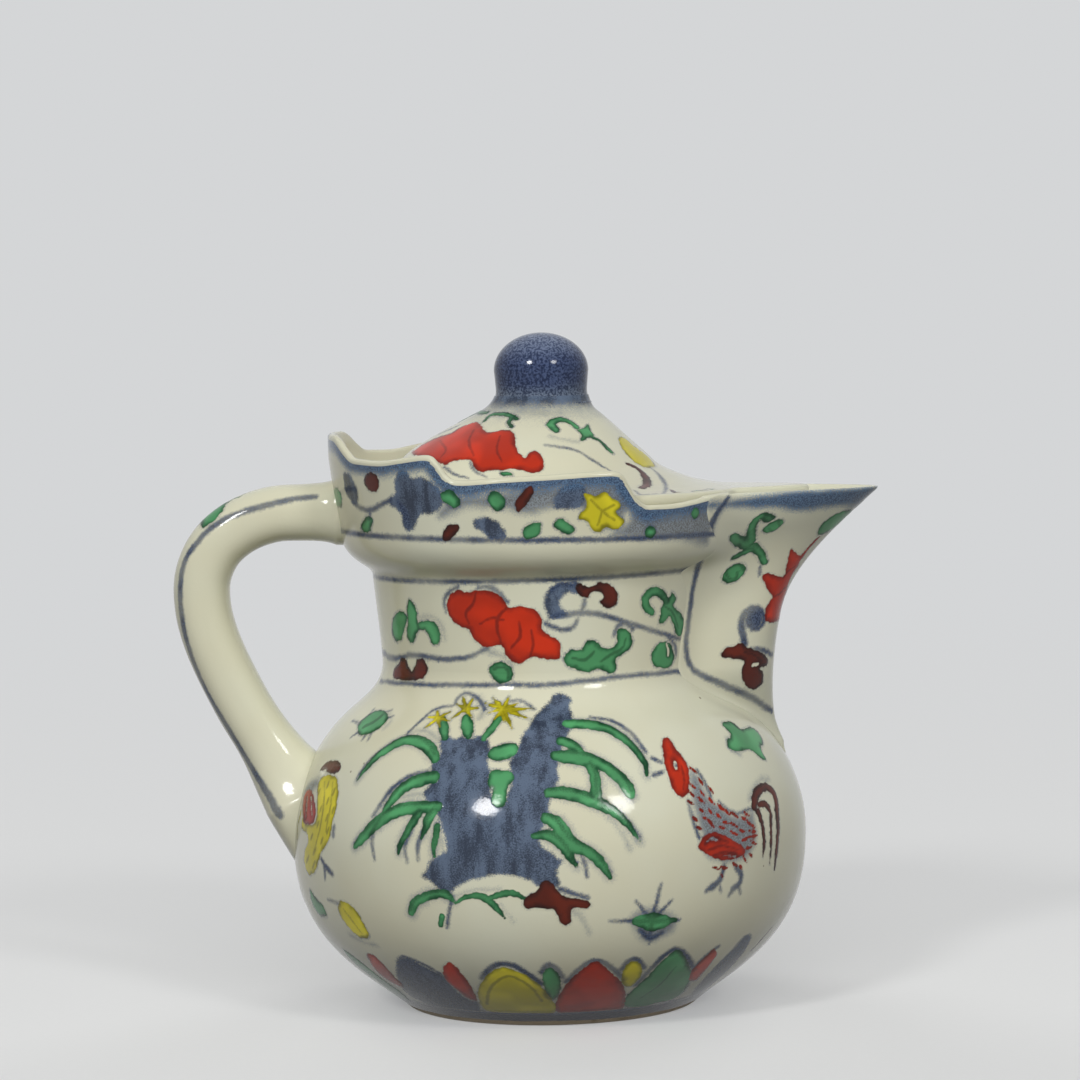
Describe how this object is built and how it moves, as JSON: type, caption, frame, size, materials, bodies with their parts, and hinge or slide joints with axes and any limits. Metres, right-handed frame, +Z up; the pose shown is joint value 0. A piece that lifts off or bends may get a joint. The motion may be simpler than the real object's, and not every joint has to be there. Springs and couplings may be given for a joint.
{
  "type": "monks cap ewer",
  "caption": "Small lidded porcelain wine ewer with a round belly, stepped monk's cap collar, duck-bill spout, strap handle and loose knobbed lid, painted in blue and enamels.",
  "frame": {"origin": "on the surface that the foot ring stands on, under the middle of the overall length and width", "axes": "+X along the ewer from handle to spout, +Y across it, +Z up"},
  "size_m": [0.1372, 0.0998, 0.1301],
  "materials": {
    "painted_glaze": "glossy ivory glaze with underglaze blue and overglaze enamels",
    "collar_glaze": "glossy glaze over a stippled grey-blue wash with enamels",
    "lid_glaze": "glossy ivory glaze with red, green and yellow enamels",
    "blue_glaze": "glossy glaze over deep speckled blue",
    "bare_foot": "unglazed fired rim"
  },
  "bodies": {
    "ewer": {"foot_ring": "bare_foot", "lower_belly": "painted_glaze", "upper_belly": "painted_glaze", "neck": "painted_glaze", "collar": "collar_glaze", "spout": "painted_glaze", "handle": "painted_glaze"},
    "lid": {"lid_brim": "lid_glaze", "lid_dome": "lid_glaze", "lid_flange": "lid_glaze", "lid_knob": "blue_glaze"}
  },
  "joints": [
    {"name": "lid_lift", "type": "slide", "parent": "ewer", "child": "lid", "axis": [0, 0, 1], "range_m": [0, 0.05]}
  ]
}
